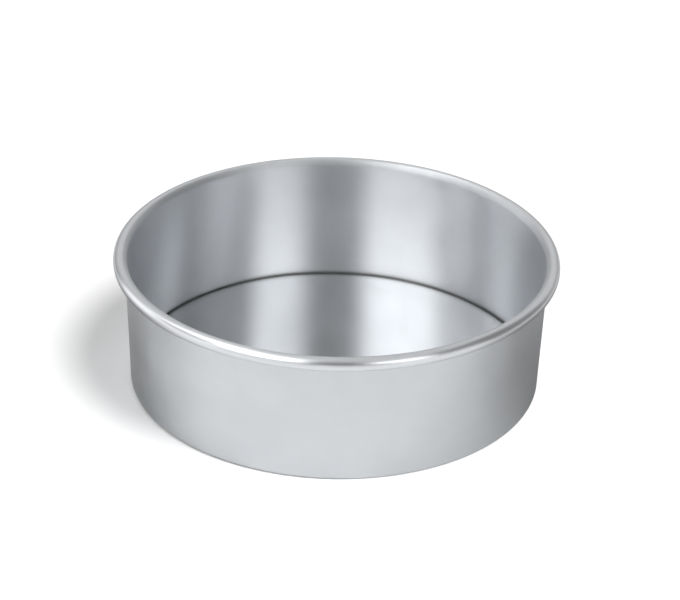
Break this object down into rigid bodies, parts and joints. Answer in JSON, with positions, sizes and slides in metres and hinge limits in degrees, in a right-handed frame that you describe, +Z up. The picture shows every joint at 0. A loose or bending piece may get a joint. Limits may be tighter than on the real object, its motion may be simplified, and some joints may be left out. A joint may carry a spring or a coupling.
{
  "type": "cake pan",
  "caption": "Round deep aluminium cake pan with straight, slightly tapered wall, thick curled rim and a flat loose base that pushes up to free the cake.",
  "frame": {"origin": "centre of the pan's foot, on the surface that it stands on", "axes": "+Z up along the pan's axis; the pan is round, so X and Y are any two directions square to it"},
  "size_m": [0.2434, 0.2434, 0.0762],
  "materials": {
    "wall_aluminium": "satin drawn sheet",
    "rim_steel": "galvanised wire",
    "base_aluminium": "fine satin plate"
  },
  "bodies": {
    "pan": {"pan_wall": "wall_aluminium", "rim_wire": "rim_steel"},
    "base": {"loose_base": "base_aluminium"}
  },
  "joints": [
    {"name": "base_lift", "type": "slide", "parent": "pan", "child": "base", "axis": [0, 0, 1], "range_m": [0, 0.1]}
  ]
}
